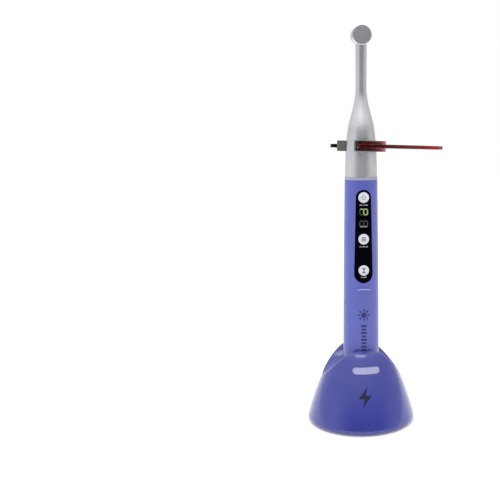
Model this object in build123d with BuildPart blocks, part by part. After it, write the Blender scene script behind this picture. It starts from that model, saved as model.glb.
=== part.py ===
"""Dental curing light: a cordless handpiece standing in its charging base, with an orange eye shield.

Millimetres, +Z up. The origin is the centre of the foot pad's underside, on the handpiece's axis.
The control panel faces -Y, the light window in the head faces +Y, and the cradle runs along X.
"""
from build123d import *
import os
from math import cos, radians, sin

os.makedirs("parts", exist_ok=True)

# ---- Driving dimensions: handpiece --------------------------------------------------------------
TOTAL_HEIGHT = 303.0        # floor to the top of the head
TAIL_Z = 24.0               # underside of the standing handpiece
SEAM_Z = 31.0               # seam between tail cap and grip
GRIP_TOP_Z = 188.8          # top of the coloured grip
RING_TOP_Z = 191.3          # top of the trim ring, where the metal neck starts
CUT_THROUGH = 50.0          # length of a cut that has to pass everything above it
CUT_SHORT = 3.0             # length of a cut through a thin part
OUTSIDE_Y = 45.0            # a plane behind the whole base
SEAM_GAP = 0.12             # moulded parts meet with this small gap
STACK_GAP = 0.02            # parts that stand on each other meet with this gap
FIT = 0.05                  # radial clearance of parts that are pushed together
GRIP_PROFILE = [(14.15, SEAM_Z), (14.0, 58.0), (13.6, 108.7), (12.65, GRIP_TOP_Z)]
GRIP_BORE_BOTTOM = 12.4
GRIP_BORE_TOP = 11.1
NECK_FLARE = [(12.5, RING_TOP_Z), (11.85, 207.0), (10.7, 222.6), (9.55, 230.0), (7.15, 239.0),
              (5.05, 248.0), (4.1, 258.0)]
NECK_BORE = [(9.9, 201.0), (9.0, 218.0), (7.6, 230.0), (3.0, 248.0), (2.3, 257.0)]
STEM_RADIUS = 4.25          # neck radius where it meets the head

HEAD_RADIUS = 7.4
HEAD_DEPTH = 9.8            # along Y, back disc to window
HEAD_Z = TOTAL_HEIGHT - HEAD_RADIUS
HEAD_BACK_Y = -HEAD_DEPTH / 2
HEAD_FRONT_Y = HEAD_DEPTH / 2
LAMP_RADIUS = 5.6           # cavity that holds the light engine
LAMP_FLOOR_Y = HEAD_BACK_Y + 1.5
BEZEL_SEAT_RADIUS = 6.4
BEZEL_SEAT_Y = HEAD_FRONT_Y - 1.2
BEZEL_BORE = 4.9
BEZEL_PROUD = 0.35          # the bezel stands this far in front of the head
HEAD_BACK_EDGE = 0.6        # round edge of the plain back disc
HEAD_FRONT_EDGE = 0.6
LENS_BACK_Y = 2.45
LENS_CROWN = 1.0            # height of the lens's dome
CUP_Y = (-1.8, 2.42)        # reflector cup, from the LED to the lens
CUP_RADII = (2.4, 4.9, 5.5) # narrow mouth, wide mouth, outside
STACK_RADIUS = 5.4          # LED board and thermal pad
PAD_Y = -2.9                # faces of the thermal pad, LED board and LED, towards the window
PAD_THICKNESS = 0.48
LED_BOARD_Y = -1.85
LED_BOARD_THICKNESS = 1.03
LED_Y = -1.15
LED_SIZE = 3.2
LED_THICKNESS = 0.68
LED_DOME = (1.2, 0.3)       # radius and height

COUPLER_RADIUS = 10.65      # sleeve that joins the metal neck to the grip
COUPLER_BORE = 8.6
COUPLER_LOW_Z = 181.5
COUPLER_HIGH_Z = 200.0

PANEL_TOP_Z = 181.9
PANEL_BOTTOM_Z = 111.0
PANEL_TOP_RADIUS = 5.8
PANEL_BOTTOM_RADIUS = 7.15
PANEL_THICKNESS = 0.8
PANEL_PROUD = 0.08          # the overlay's crest above the grip
PANEL_DEPTH = 12.0          # from the board's face to well outside the grip
BUTTON_RADIUS = 4.0
BUTTON_HOLE_RADIUS = 4.2
BUTTONS = {"power_button": (176.1, 12.8), "mode_button": (144.7, 13.2), "time_button": (120.8, 13.48)}
BUTTON_HEIGHTS = [height for height, crest in BUTTONS.values()]
BUTTON_PROUD = 0.4          # height of a button above the panel's crest
BUTTON_FLANGE_RADIUS = 4.9
BUTTON_FLANGE_Y = -9.9
BUTTON_FLANGE_THICKNESS = 0.8
BUTTON_STEM_RADIUS = 1.5
BUTTON_EDGE = 0.35
DISPLAY_Z = 160.85
DISPLAY_WIDTH = 8.4
DISPLAY_HEIGHT = 17.4
DISPLAY_DEPTH = 5.5
DISPLAY_CLEARANCE = 0.4     # around the display, in the grip's wall
FINGER_STOP_Z = 105.4
FINGER_STOP_SIZE = (10.7, 3.6)
FINGER_STOP_PROUD = 0.55
FINGER_STOP_ROOT = 0.4      # how deep the stop grows out of the grip's wall

BOARD_FRONT_Y = -5.0        # component face of the main circuit board
BOARD_BACK_Y = -3.4
BOARD_WIDTH = 17.2
BOARD_LOW_Z = 108.0
BOARD_HIGH_Z = 180.4
SWITCH_TIP_Y = -8.15        # tip of a switch's plunger
BUTTON_STEM_Y = -8.65       # inner end of a button, one travel and a little air before the switch
BOARD_SCREW_Z = (112.0, 150.0)
WIRE_RADIUS = 0.45
WIRE_X = 0.75
WIRE_Y = -1.6
WIRE_LOW_Z = 180.5
WIRE_LENGTH = 109.4
CHIP_HEIGHT = 0.9
SWITCH_SIZE = (6.0, 2.6)    # width and height of a tact switch
PLUNGER_RADIUS = 1.75
TALL_PART = 3.0             # height of the inductor, the buzzer and the LED connector
TALL_PART_Y = BOARD_BACK_Y + STACK_GAP + TALL_PART
INDUCTOR_AT = (-3.5, 141.0)
BUZZER_Z = 122.0
BUZZER_RADIUS = 4.5
CONNECTOR_SIZE = (6.0, 7.5)
CONNECTOR_Z = 176.7
SMALL_SCREW = (1.6, 1.1, 0.75)   # head radius, head height, shank radius
CHASSIS_RADIUS = 10.6
CHASSIS_BORE = 9.4
BOSS_BACK_Y = CHASSIS_BORE + 0.4   # the screw bosses run into the chassis's wall
SCREW_BOSS_RADIUS = 2.2
SCREW_HOLE_Y = 3.0          # bottom of the screw holes in the bosses
SCREW_END_Y = 2.5
SHELF_THICKNESS = 1.5
CHASSIS_LOW_Z = 33.5
CHASSIS_MID_Z = 105.0
CELL_RADIUS = 9.15          # standard 18 x 65 mm lithium cell
CELL_LOW_Z = 38.5
CELL_HIGH_Z = 103.0
CELL_CAP = (2.9, 1.3)       # radius and height of the plus pole
PLUS_CONTACT = (7.0, 0.6)   # width and thickness
LEAF_SPRING = [(-5, 35.25), (5, 35.25), (4, 37.0), (-4, 37.0), (-3, 38.3), (3, 38.3)]
LEAF_WIDTH = 6.0
LEAF_THICKNESS = 0.3
TAIL_SPIGOT_RADIUS = 12.2
TAIL_SPIGOT_BORE = 10.8
TAIL_SPIGOT_Z = 36.0
TAIL_FLOOR_Z = 29.6
CONTACT_Z = 24.02           # the charging contacts are flush with the underside
CONTACT_TOP_Z = 26.8
RING_CONTACT = (5.0, 7.4)   # inner and outer radius of the ring contact's groove
INNER_CONTACT_RADIUS = 2.7
POST_RADIUS = 0.7
POST_TOP_Z = 31.4

# ---- Driving dimensions: eye shield -------------------------------------------------------------
SHIELD_Z = 214.3            # middle plane of the shield
SHIELD_ANGLE = 14.0         # direction of the shield's long axis, from +X
SHIELD_TILT = 1.2           # clip and shield sit a little askew on the neck, with their +X side low
SHIELD_THICKNESS = 2.8
SHIELD_RIM_THICKNESS = 6.6  # the shield is thicker along its notch
SHIELD_RIM_RADIUS = 18.9
SHIELD_RIM_LEG = 8.5
NOTCH_RADIUS = 16.1
SHIELD_EDGE = 0.5
SHIELD_OUTLINE = [(-5, 28), (12, 32.5), (27, 29.4), (41, 19.4), (53, 12.8), (64, 5.2), (69, -1.8),
                  (62.5, -10), (48, -14.8), (20, -19.8), (0, -20.8), (-9.2, -19.6)]
CLIP_END_ROUND = 2.5
CLIP_EDGE = 0.4
CLIP_HEIGHT = 8.0
CLIP_RADIUS = 19.0
CLIP_CORE_RADIUS = 15.9     # bottom of the groove that holds the shield
CLIP_GROOVE = 6.8
CLIP_INNER_RADIUS = 9.0     # inside the neck, so that the neck's form cuts the bore
CLIP_CLEARANCE = 0.3        # clip to neck, enough for the askew clip to turn
CLIP_START = -117.0         # the clip runs anticlockwise from here, with closed ends
CLIP_SWEEP = 281.0
GROOVE_START = -111.0
GROOVE_SWEEP = 259.0
FAR_LEG = [(-16.5, 16.1), (-18.0, 17.4), (-16.9, 19.2)]   # far end of the notch: edge, tip, edge
NEAR_LEG = [(-10.9, -17.9), (-9.0, -16.1)]                # near end of the notch: tip, edge

# ---- Driving dimensions: charging base ----------------------------------------------------------
RIM_Z = 0.7                 # the shell's rim stays this far above the table
BASE_SIDE = [(41.8, 4.2), (36.0, 23.0), (22.8, 53.6)]
BASE_CROWN = [(19.0, 57.8), (12.0, 60.2), (0.0, 60.8)]
BASE_WALL = 2.2
CRADLE_RADIUS = 15.2        # trough that the handpiece can lie in
CRADLE_LOW_Z = 47.0
CRADLE_ARCH_RADIUS = 52.0   # the trough's bottom line bends down towards both sides
CRADLE_HALF_ANGLE = 40.0
CREST_FILLET = 2.0          # round edge between the cradle and the outside
MOUTH_FILLET = 0.8          # round edge of the socket's mouth
SOCKET_RADIUS = 14.5
BOSS_RADIUS = 17.5
BOSS_LOW_Z = 19.0
CONTACT_PITCH = 6.2         # distance of the outer charging pin from the axis
CARRIER_LOW_Z = 16.0
CARRIER_RADIUS = 18.3
CARRIER_LEG_X = 13.0
CARRIER_SCREW_PITCH = 16.0
PIN_RADIUS = 1.1
PIN_LOW_Z = 16.2
PIN_SLEEVE_RADIUS = 1.7
PIN_SLEEVE_LENGTH = 11.5
PIN_SPRING = (0.75, 0.16, 0.62)  # coil radius, wire radius, pitch
PIN_SPRING_LOW_Z = 12.7
PIN_SPRING_LENGTH = 3.25
PIN_AIR = 0.05              # between a pin's tip and the contact it presses on
BASE_BOARD_Z = 10.4
BASE_BOARD_TOP_Z = 12.0
RISER_BACK_Y = -18.7        # small upright board behind the indicator
RISER_THICKNESS = 1.0
RISER_WIDTH = 16.0
RISER_TOP_Z = 49.0
POST_PITCH = 31.5
SCREW_POST_RADIUS = 3.0
JACK_Z = 18.5
JACK_BOSS_RADIUS = 7.6
JACK_BOSS_Y = 31.7
JACK_FACE_Y = 35.0
JACK_RECESS_RADIUS = 6.0
JACK_SNOUT_RADIUS = 4.2
JACK_BORE = 3.1
JACK_BORE_DEPTH = 10.5
JACK_BODY = (9.0, 10.8, 10.2)   # width, height, depth
DC_PIN = (1.0, 9.65)        # radius and length
SLOT_Z = 46.0
SLOT_LENGTH = 21.0
SLOT_HEIGHT = 5.0
PLATE_RADIUS = 39.4
PLATE_TOP_Z = 3.2
BALLAST = (27.5, 8.0, 5.0)  # outer radius, bore, height
BASE_SCREW = (2.2, 1.2, 1.1)     # head radius, head height, shank radius
BASE_FOOT_EDGE = 2.2
FOOT_RADIUS = 36.5
FOOT_THICKNESS = 1.0


# ---- Shared shapes ------------------------------------------------------------------------------
def save(node, name):
    """Label a finished piece and write it as its own STEP file."""
    node.part.label = name
    export_step(node.part, f"parts/{name}.step")


def level(z):
    """Horizontal workplane; extrusions go up."""
    return Plane.XY.offset(z)


def front(y):
    """Upright workplane at y, with X to the right and Z up; extrusions go towards -Y."""
    return Plane.XZ.offset(-y)


def ring(plane, radius, bore=0.0, at=(0, 0)):
    """Round outline, with a round hole if bore is given."""
    with BuildSketch(plane) as outline:
        with Locations(at):
            Circle(radius)
            if bore:
                Circle(bore, mode=Mode.SUBTRACT)
    return outline.sketch


def round_spots(radius, count, start):
    """Points spaced evenly on a circle, from start degrees."""
    angles = [radians(start + 360 * step / count) for step in range(count)]
    return [(radius * cos(angle), radius * sin(angle)) for angle in angles]


def upright_screws(z, spots, size, length):
    """Screws that point up from z; size is head radius, head height and shank radius."""
    head_radius, head_height, shank_radius = size
    with BuildPart() as made:
        for spot in spots:
            extrude(ring(level(z), head_radius, at=spot), amount=head_height)
            extrude(ring(level(z), shank_radius, at=spot), amount=length)
    return made.part


def panel(plane, width, height, at=(0, 0), corner=0.0):
    """Rectangular outline with optional round corners."""
    with BuildSketch(plane) as outline:
        with Locations(at):
            Rectangle(width, height)
        if corner:
            fillet(outline.vertices(), corner)
    return outline.sketch


def slot(plane, length, height, at):
    """Outline with straight sides and round ends."""
    with BuildSketch(plane) as outline:
        with Locations(at):
            SlotOverall(length, height)
    return outline.sketch


def grip_form(grow):
    """The grip's outer form, with its radius changed by grow."""
    with BuildPart() as form:
        with BuildSketch(Plane.XZ):
            with BuildLine():
                side = Spline([(radius + grow, z) for radius, z in GRIP_PROFILE])
                Polyline(side @ 1, (0, GRIP_TOP_Z), (0, SEAM_Z), side @ 0)
            make_face()
        revolve(axis=Axis.Z)
    return form.part


def neck_form(grow):
    """The metal neck's outer form up to the middle of the head, with its radius changed by grow."""
    with BuildPart() as form:
        with BuildSketch(Plane.XZ):
            with BuildLine():
                flare = Spline([(radius + grow, z) for radius, z in NECK_FLARE])
                stem = Line(flare @ 1, (STEM_RADIUS + grow, HEAD_Z))
                Polyline(stem @ 1, (0, HEAD_Z), (0, RING_TOP_Z), flare @ 0)
            make_face()
        revolve(axis=Axis.Z)
    return form.part


def base_form(inset):
    """The charging base's domed outer form without its cradle, moved in by inset."""
    with BuildPart() as form:
        with BuildSketch(Plane.XZ):
            with BuildLine():
                side = Spline([(radius - inset, z) for radius, z in BASE_SIDE])
                shoulder = [(max(radius - inset, 0), z - inset) for radius, z in BASE_CROWN]
                crown = Spline([side @ 1, *shoulder], tangents=[side % 1, (-1, 0)])
                foot_radius = BASE_SIDE[0][0] - inset
                Polyline(crown @ 1, (0, RIM_Z), (foot_radius, RIM_Z), side @ 0)
            make_face()
        revolve(axis=Axis.Z)
    return form.part


def cradle_form(radius):
    """Round trough across the base along X, arched so that its bottom falls towards both ends."""
    arch_centre = Vector(0, 0, CRADLE_LOW_Z - CRADLE_ARCH_RADIUS)
    lean = radians(CRADLE_HALF_ANGLE)
    start_plane = Plane(origin=arch_centre, x_dir=(0, 1, 0), z_dir=(cos(lean), 0, sin(lean)))
    with BuildPart() as form:
        revolve(ring(start_plane, radius, at=(0, CRADLE_ARCH_RADIUS + CRADLE_RADIUS)),
                axis=Axis(arch_centre, (0, 1, 0)), revolution_arc=2 * CRADLE_HALF_ANGLE)
    return form.part


# ---- Head: neck shell, window and light engine --------------------------------------------------
with BuildPart() as head_shell:
    add(neck_form(0))
    extrude(ring(front(HEAD_FRONT_Y), HEAD_RADIUS, at=(0, HEAD_Z)), amount=HEAD_DEPTH)
    head_edges = head_shell.edges().filter_by(GeomType.CIRCLE).filter_by(
        lambda edge: abs(edge.radius - HEAD_RADIUS) < 0.01 and abs(edge.center().Z - HEAD_Z) < 1)
    fillet(head_edges.sort_by(Axis.Y)[0], HEAD_BACK_EDGE)
    fillet(head_shell.edges().filter_by(GeomType.CIRCLE).sort_by(Axis.Y)[-1], HEAD_FRONT_EDGE)
    extrude(ring(front(HEAD_FRONT_Y), LAMP_RADIUS, at=(0, HEAD_Z)),
            amount=HEAD_FRONT_Y - LAMP_FLOOR_Y, mode=Mode.SUBTRACT)
    extrude(ring(front(HEAD_FRONT_Y), BEZEL_SEAT_RADIUS, at=(0, HEAD_Z)),
            amount=HEAD_FRONT_Y - BEZEL_SEAT_Y, mode=Mode.SUBTRACT)
    with BuildSketch(Plane.XZ):
        with BuildLine():
            bore_side = Spline(NECK_BORE)
            Polyline(bore_side @ 1, (NECK_BORE[-1][0], HEAD_Z), (0, HEAD_Z), (0, NECK_BORE[0][1]),
                     bore_side @ 0)
        make_face()
    revolve(axis=Axis.Z, mode=Mode.SUBTRACT)
    extrude(ring(level(RING_TOP_Z), COUPLER_RADIUS + FIT), amount=COUPLER_HIGH_Z - RING_TOP_Z,
            mode=Mode.SUBTRACT)
    extrude(ring(level(RING_TOP_Z), NECK_BORE[0][0]), amount=NECK_BORE[0][1] - RING_TOP_Z,
            mode=Mode.SUBTRACT)
save(head_shell, "head_shell")

with BuildPart() as head_bezel:
    extrude(ring(front(HEAD_FRONT_Y + BEZEL_PROUD), BEZEL_SEAT_RADIUS - FIT, BEZEL_BORE, (0, HEAD_Z)),
            amount=HEAD_FRONT_Y + BEZEL_PROUD - BEZEL_SEAT_Y - STACK_GAP)
    chamfer(head_bezel.faces().sort_by(Axis.Y)[-1].edges(), BEZEL_PROUD)
save(head_bezel, "head_bezel")

with BuildPart() as head_lens:
    with BuildSketch(Plane.YZ):
        with BuildLine():
            rim_radius = LAMP_RADIUS - FIT
            dome_radius = BEZEL_BORE - FIT
            dome = TangentArc((BEZEL_SEAT_Y + LENS_CROWN, HEAD_Z), (BEZEL_SEAT_Y, HEAD_Z + dome_radius),
                              tangent=(0, 1))
            Polyline(dome @ 1, (BEZEL_SEAT_Y, HEAD_Z + rim_radius), (LENS_BACK_Y, HEAD_Z + rim_radius),
                     (LENS_BACK_Y, HEAD_Z), dome @ 0)
        make_face()
    revolve(axis=Axis((0, 0, HEAD_Z), (0, 1, 0)))
save(head_lens, "head_lens")

with BuildPart() as reflector_cup:
    with BuildSketch(Plane.YZ):
        with BuildLine():
            narrow, wide, outside = CUP_RADII
            Polyline((CUP_Y[0], HEAD_Z + narrow), (CUP_Y[0], HEAD_Z + outside), (CUP_Y[1], HEAD_Z + outside),
                     (CUP_Y[1], HEAD_Z + wide), (CUP_Y[0], HEAD_Z + narrow))
        make_face()
    revolve(axis=Axis((0, 0, HEAD_Z), (0, 1, 0)))
save(reflector_cup, "reflector_cup")

with BuildPart() as thermal_pad:
    extrude(ring(front(PAD_Y), STACK_RADIUS, at=(0, HEAD_Z)), amount=PAD_THICKNESS)
save(thermal_pad, "thermal_pad")

with BuildPart() as led_board:
    extrude(ring(front(LED_BOARD_Y), STACK_RADIUS, at=(0, HEAD_Z)), amount=LED_BOARD_THICKNESS)
save(led_board, "led_board")

with BuildPart() as led_chip:
    extrude(panel(front(LED_Y), LED_SIZE, LED_SIZE, (0, HEAD_Z), corner=0.3), amount=LED_THICKNESS)
    extrude(ring(front(LED_Y + LED_DOME[1]), LED_DOME[0], at=(0, HEAD_Z)), amount=LED_DOME[1])
save(led_chip, "led_chip")

with BuildPart() as led_wires:
    for side in (-1, 1):
        extrude(ring(level(WIRE_LOW_Z), WIRE_RADIUS, at=(side * WIRE_X, WIRE_Y)), amount=WIRE_LENGTH)
save(led_wires, "led_wires")

# ---- Grip: coupler, trim ring, shell, control panel ---------------------------------------------
with BuildPart() as head_coupler:
    extrude(ring(level(COUPLER_LOW_Z), COUPLER_RADIUS, COUPLER_BORE), amount=COUPLER_HIGH_Z - COUPLER_LOW_Z)
    chamfer(head_coupler.faces().sort_by(Axis.Z)[-1].edges(), 0.4)
save(head_coupler, "head_coupler")

with BuildPart() as trim_ring:
    ring_height = RING_TOP_Z - GRIP_TOP_Z - 2 * SEAM_GAP
    extrude(ring(level(GRIP_TOP_Z + SEAM_GAP), GRIP_PROFILE[-1][0], COUPLER_RADIUS + FIT), amount=ring_height)
    chamfer(trim_ring.faces().sort_by(Axis.Z)[-1].outer_wire().edges(), 0.25)
save(trim_ring, "trim_ring")

with BuildPart() as panel_prism:
    with BuildSketch(front(BOARD_FRONT_Y)):
        with Locations((0, PANEL_TOP_Z - PANEL_TOP_RADIUS)):
            Circle(PANEL_TOP_RADIUS)
        with Locations((0, PANEL_BOTTOM_Z + PANEL_BOTTOM_RADIUS)):
            Circle(PANEL_BOTTOM_RADIUS)
        make_hull()
    extrude(amount=PANEL_DEPTH)

with BuildPart() as panel_recess:
    add(panel_prism.part)
    add(grip_form(-PANEL_THICKNESS - FIT), mode=Mode.SUBTRACT)

with BuildPart() as finger_stop:
    extrude(slot(front(BOARD_FRONT_Y), *FINGER_STOP_SIZE, (0, FINGER_STOP_Z)), amount=PANEL_DEPTH)
    add(grip_form(FINGER_STOP_PROUD), mode=Mode.INTERSECT)
    add(grip_form(-FINGER_STOP_ROOT), mode=Mode.SUBTRACT)

with BuildPart() as body_shell:
    add(grip_form(0))
    add(finger_stop.part)
    with BuildSketch(Plane.XZ):
        with BuildLine():
            Polyline((0, SEAM_Z), (GRIP_BORE_BOTTOM, SEAM_Z), (GRIP_BORE_TOP, COUPLER_LOW_Z),
                     (COUPLER_RADIUS + FIT, COUPLER_LOW_Z), (COUPLER_RADIUS + FIT, GRIP_TOP_Z),
                     (0, GRIP_TOP_Z), (0, SEAM_Z))
        make_face()
    revolve(axis=Axis.Z, mode=Mode.SUBTRACT)
    add(panel_recess.part, mode=Mode.SUBTRACT)
    for button_z in BUTTON_HEIGHTS:
        extrude(ring(front(BOARD_FRONT_Y), BUTTON_HOLE_RADIUS, at=(0, button_z)), amount=PANEL_DEPTH,
                mode=Mode.SUBTRACT)
    display_hole = panel(front(BOARD_FRONT_Y), DISPLAY_WIDTH + DISPLAY_CLEARANCE,
                         DISPLAY_HEIGHT + DISPLAY_CLEARANCE, (0, DISPLAY_Z))
    extrude(display_hole, amount=PANEL_DEPTH, mode=Mode.SUBTRACT)
save(body_shell, "body_shell")

with BuildPart() as control_panel:
    add(panel_prism.part)
    add(grip_form(PANEL_PROUD), mode=Mode.INTERSECT)
    add(grip_form(-PANEL_THICKNESS), mode=Mode.SUBTRACT)
    for button_z in BUTTON_HEIGHTS:
        extrude(ring(front(BOARD_FRONT_Y), BUTTON_HOLE_RADIUS, at=(0, button_z)), amount=PANEL_DEPTH,
                mode=Mode.SUBTRACT)
save(control_panel, "control_panel")

for button_name, (button_z, crest) in BUTTONS.items():
    face_y = -(crest + BUTTON_PROUD)
    with BuildPart() as button:
        extrude(ring(front(BUTTON_FLANGE_Y), BUTTON_RADIUS, at=(0, button_z)),
                amount=BUTTON_FLANGE_Y - face_y)
        fillet(button.faces().sort_by(Axis.Y)[0].edges(), BUTTON_EDGE)
        flange_y = BUTTON_FLANGE_Y + BUTTON_FLANGE_THICKNESS
        extrude(ring(front(flange_y), BUTTON_FLANGE_RADIUS, at=(0, button_z)), amount=BUTTON_FLANGE_THICKNESS)
        extrude(ring(front(BUTTON_STEM_Y), BUTTON_STEM_RADIUS, at=(0, button_z)),
                amount=BUTTON_STEM_Y - BUTTON_FLANGE_Y)
    save(button, button_name)

# ---- Electronics --------------------------------------------------------------------------------
with BuildPart() as main_board:
    board_height = BOARD_HIGH_Z - BOARD_LOW_Z
    board_middle = (0, BOARD_LOW_Z + board_height / 2)
    extrude(panel(front(BOARD_BACK_Y), BOARD_WIDTH, board_height, board_middle, corner=2),
            amount=BOARD_BACK_Y - BOARD_FRONT_Y)
    for screw_z in BOARD_SCREW_Z:
        extrude(ring(front(BOARD_BACK_Y), SMALL_SCREW[2] + 0.1, at=(0, screw_z)), amount=CUT_SHORT,
                mode=Mode.SUBTRACT)
save(main_board, "main_board")

with BuildPart() as display_module:
    extrude(panel(front(BOARD_FRONT_Y - STACK_GAP), DISPLAY_WIDTH, DISPLAY_HEIGHT, (0, DISPLAY_Z)),
            amount=DISPLAY_DEPTH)
save(display_module, "display_module")

with BuildPart() as tact_switches:
    for button_z in BUTTON_HEIGHTS:
        width, height = SWITCH_SIZE
        extrude(panel(front(BOARD_FRONT_Y - STACK_GAP), width, width, (0, button_z), corner=0.6),
                amount=height)
        extrude(ring(front(BOARD_FRONT_Y - 1), PLUNGER_RADIUS, at=(0, button_z)),
                amount=BOARD_FRONT_Y - 1 - SWITCH_TIP_Y)
save(tact_switches, "tact_switches")

with BuildPart() as board_chips:
    for x, z, width in ((0, 131.5, 7.0), (4.5, 136.5, 3.0)):
        extrude(panel(front(BOARD_FRONT_Y - STACK_GAP), width, width, (x, z)), amount=CHIP_HEIGHT)
    for x, z, width in ((4.0, 162.0, 5.0), (-4.0, 157.0, 4.0), (5.0, 132.0, 4.0)):
        chip_back_y = BOARD_BACK_Y + STACK_GAP + CHIP_HEIGHT
        extrude(panel(front(chip_back_y), width, width, (x, z)), amount=CHIP_HEIGHT)
save(board_chips, "board_chips")

with BuildPart() as power_inductor:
    extrude(panel(front(TALL_PART_Y), 6.0, 6.0, INDUCTOR_AT, corner=1.2), amount=TALL_PART)
save(power_inductor, "power_inductor")

with BuildPart() as buzzer:
    extrude(ring(front(TALL_PART_Y), BUZZER_RADIUS, at=(0, BUZZER_Z)), amount=TALL_PART)
    extrude(ring(front(TALL_PART_Y), 0.8, at=(0, BUZZER_Z)), amount=1.0, mode=Mode.SUBTRACT)
save(buzzer, "buzzer")

with BuildPart() as led_connector:
    extrude(panel(front(TALL_PART_Y), *CONNECTOR_SIZE, (0, CONNECTOR_Z)), amount=TALL_PART)
save(led_connector, "led_connector")

with BuildPart() as inner_chassis:
    with BuildSketch(level(CHASSIS_LOW_Z)):
        Circle(CHASSIS_RADIUS)
        Circle(CHASSIS_BORE, mode=Mode.SUBTRACT)
        with Locations((0, -CHASSIS_RADIUS - 1)):
            Rectangle(4 * CHASSIS_RADIUS, 2 * CHASSIS_RADIUS, mode=Mode.SUBTRACT)
    extrude(amount=BOARD_HIGH_Z - CHASSIS_LOW_Z)
    for shelf_z in (CHASSIS_LOW_Z, CHASSIS_MID_Z):
        extrude(ring(level(shelf_z), CHASSIS_RADIUS), amount=SHELF_THICKNESS)
    for screw_z in BOARD_SCREW_Z:
        extrude(ring(front(BOSS_BACK_Y), SCREW_BOSS_RADIUS, at=(0, screw_z)),
                amount=BOSS_BACK_Y - BOARD_BACK_Y)
        extrude(ring(front(SCREW_HOLE_Y), SMALL_SCREW[2] + FIT, at=(0, screw_z)),
                amount=SCREW_HOLE_Y + OUTSIDE_Y, mode=Mode.SUBTRACT)
save(inner_chassis, "inner_chassis")

with BuildPart() as main_board_screws:
    for screw_z in BOARD_SCREW_Z:
        extrude(ring(front(BOARD_FRONT_Y - STACK_GAP), SMALL_SCREW[0], at=(0, screw_z)),
                amount=SMALL_SCREW[1])
        extrude(ring(front(SCREW_END_Y), SMALL_SCREW[2], at=(0, screw_z)),
                amount=SCREW_END_Y - BOARD_FRONT_Y + SMALL_SCREW[1] / 2)
save(main_board_screws, "main_board_screws")

with BuildPart() as battery_cell:
    extrude(ring(level(CELL_LOW_Z), CELL_RADIUS), amount=CELL_HIGH_Z - CELL_LOW_Z)
    fillet(battery_cell.edges().filter_by(GeomType.CIRCLE), 0.8)
    extrude(ring(level(CELL_HIGH_Z), CELL_CAP[0]), amount=CELL_CAP[1])
save(battery_cell, "battery_cell")

with BuildPart() as battery_plus_contact:
    extrude(panel(level(CELL_HIGH_Z + CELL_CAP[1] + FIT), PLUS_CONTACT[0], PLUS_CONTACT[0], corner=1.0),
            amount=PLUS_CONTACT[1])
save(battery_plus_contact, "battery_plus_contact")

with BuildPart() as battery_spring:
    with BuildSketch(front(LEAF_WIDTH / 2)):
        with BuildLine():
            Polyline(*LEAF_SPRING)
        trace(line_width=LEAF_THICKNESS)
    extrude(amount=LEAF_WIDTH)
save(battery_spring, "battery_spring")

# ---- Tail ---------------------------------------------------------------------------------------
with BuildPart() as tail_cap:
    with BuildSketch(Plane.XZ):
        with BuildLine():
            cap_radius = GRIP_PROFILE[0][0]
            round_end = TangentArc((cap_radius - 5.0, TAIL_Z), (cap_radius, TAIL_Z + 2.6), tangent=(1, 0))
            Polyline(round_end @ 1, (cap_radius, SEAM_Z - SEAM_GAP), (TAIL_SPIGOT_RADIUS, SEAM_Z - SEAM_GAP),
                     (TAIL_SPIGOT_RADIUS, TAIL_SPIGOT_Z), (TAIL_SPIGOT_BORE, TAIL_SPIGOT_Z),
                     (TAIL_SPIGOT_BORE, TAIL_FLOOR_Z), (0, TAIL_FLOOR_Z), (0, TAIL_Z), round_end @ 0)
        make_face()
    revolve(axis=Axis.Z)
    extrude(ring(level(TAIL_Z), RING_CONTACT[1], RING_CONTACT[0]), amount=CONTACT_TOP_Z - TAIL_Z,
            mode=Mode.SUBTRACT)
    extrude(ring(level(TAIL_Z), INNER_CONTACT_RADIUS), amount=CONTACT_TOP_Z - TAIL_Z, mode=Mode.SUBTRACT)
    for post_x in (0, CONTACT_PITCH):
        extrude(ring(level(TAIL_Z), POST_RADIUS + FIT, at=(post_x, 0)), amount=TAIL_FLOOR_Z - TAIL_Z,
                mode=Mode.SUBTRACT)
    extrude(ring(level(SEAM_Z + 0.95), TAIL_SPIGOT_RADIUS + 0.1, 11.5), amount=1.3, mode=Mode.SUBTRACT)
save(tail_cap, "tail_cap")

with BuildPart() as tail_seal:
    with Locations((0, 0, SEAM_Z + 1.6)):
        Torus(11.95, 0.42)
save(tail_seal, "tail_seal")

with BuildPart() as tail_contact_inner:
    extrude(ring(level(CONTACT_Z), INNER_CONTACT_RADIUS - FIT), amount=CONTACT_TOP_Z - STACK_GAP - CONTACT_Z)
    extrude(ring(level(CONTACT_Z), POST_RADIUS), amount=POST_TOP_Z - CONTACT_Z)
save(tail_contact_inner, "tail_contact_inner")

with BuildPart() as tail_contact_ring:
    extrude(ring(level(CONTACT_Z), RING_CONTACT[1] - FIT, RING_CONTACT[0] + FIT),
            amount=CONTACT_TOP_Z - STACK_GAP - CONTACT_Z)
    extrude(ring(level(CONTACT_Z), POST_RADIUS, at=(CONTACT_PITCH, 0)), amount=POST_TOP_Z - CONTACT_Z)
save(tail_contact_ring, "tail_contact_ring")

with BuildPart() as tail_board:
    extrude(ring(level(TAIL_FLOOR_Z + STACK_GAP), TAIL_SPIGOT_BORE - 0.3), amount=1.4)
    for post_x in (0, CONTACT_PITCH):
        extrude(ring(level(TAIL_FLOOR_Z), POST_RADIUS + FIT, at=(post_x, 0)), amount=2, mode=Mode.SUBTRACT)
save(tail_board, "tail_board")

# ---- Eye shield ---------------------------------------------------------------------------------
def ring_sector(plane, inner, outer, start, sweep):
    """Outline of a ring cut off at two angles."""
    with BuildSketch(plane) as outline:
        with BuildLine():
            outside = CenterArc((0, 0), outer, start, sweep)
            inside = CenterArc((0, 0), inner, start, sweep)
            Line(outside @ 0, inside @ 0)
            Line(outside @ 1, inside @ 1)
        make_face()
    return outline.sketch


def on_rim(edge):
    """True for edges at the clip's outside."""
    return Vector(edge.center().X, edge.center().Y).length > CLIP_RADIUS - 1


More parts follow.
